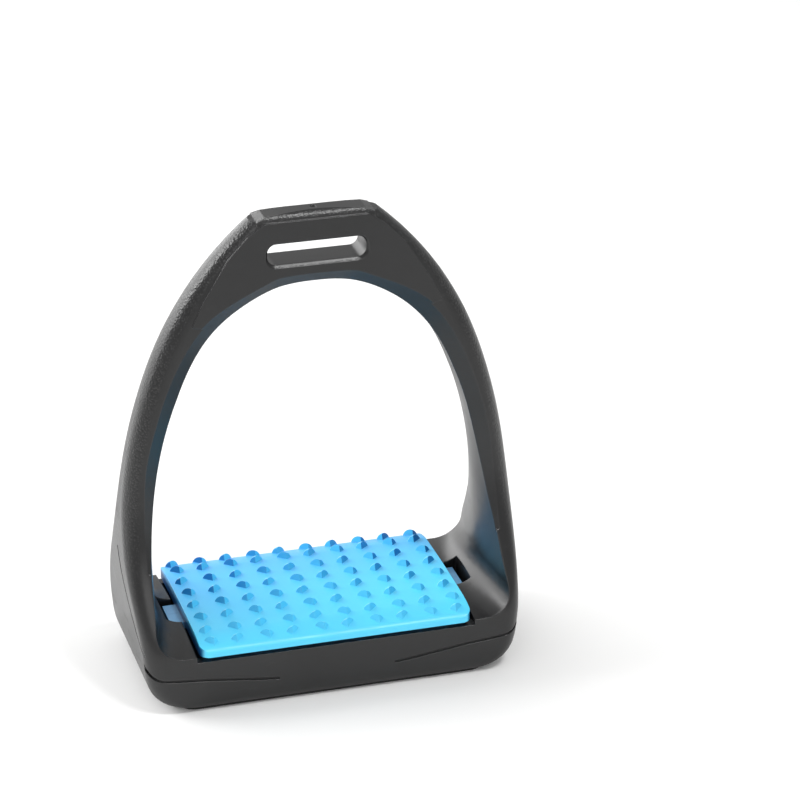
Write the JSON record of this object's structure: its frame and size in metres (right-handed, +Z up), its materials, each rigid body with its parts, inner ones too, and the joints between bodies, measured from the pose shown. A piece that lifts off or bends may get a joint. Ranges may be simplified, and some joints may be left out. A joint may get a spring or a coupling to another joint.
{
  "type": "stirrup iron",
  "caption": "Moulded riding stirrup: black arched frame with a leather slot and wide base, and a blue studded tread pad that gives slightly underfoot.",
  "frame": {"origin": "centre of the sole plate's underside, where the stirrup stands on the floor", "axes": "+Z up through the leather slot, +X across the foot to the right as seen from the front, -Y towards the front, the side the toe enters from"},
  "size_m": [0.1314, 0.0606, 0.161],
  "materials": {
    "frame_nylon": "satin glass-filled nylon with a fine pebble texture on the rounded rims",
    "sole_nylon": "matt",
    "screw_steel": "stainless",
    "insert_brass": "turned",
    "bush_acetal": "natural acetal",
    "cushion_elastomer": "matt elastomer",
    "carrier_plastic": "satin",
    "pad_rubber": "satin thermoplastic elastomer"
  },
  "bodies": {
    "frame_body": {"frame": "frame_nylon", "sole_plate": "sole_nylon", "sole_screws": "screw_steel", "frame_inserts": "insert_brass", "guide_bushes": "bush_acetal", "cushion_left": "cushion_elastomer", "cushion_right": "cushion_elastomer"},
    "tread_body": {"tread_carrier": "carrier_plastic", "carrier_inserts": "insert_brass", "shoulder_screws": "screw_steel", "stop_washers": "screw_steel", "tread_pad": "pad_rubber"}
  },
  "joints": [
    {"name": "tread_press", "type": "slide", "parent": "frame_body", "child": "tread_body", "axis": [0, 0, 1], "range_m": [-0.0015, 0], "stiffness_N_per_m": 150000, "deforming": ["cushion_left", "cushion_right"]}
  ]
}
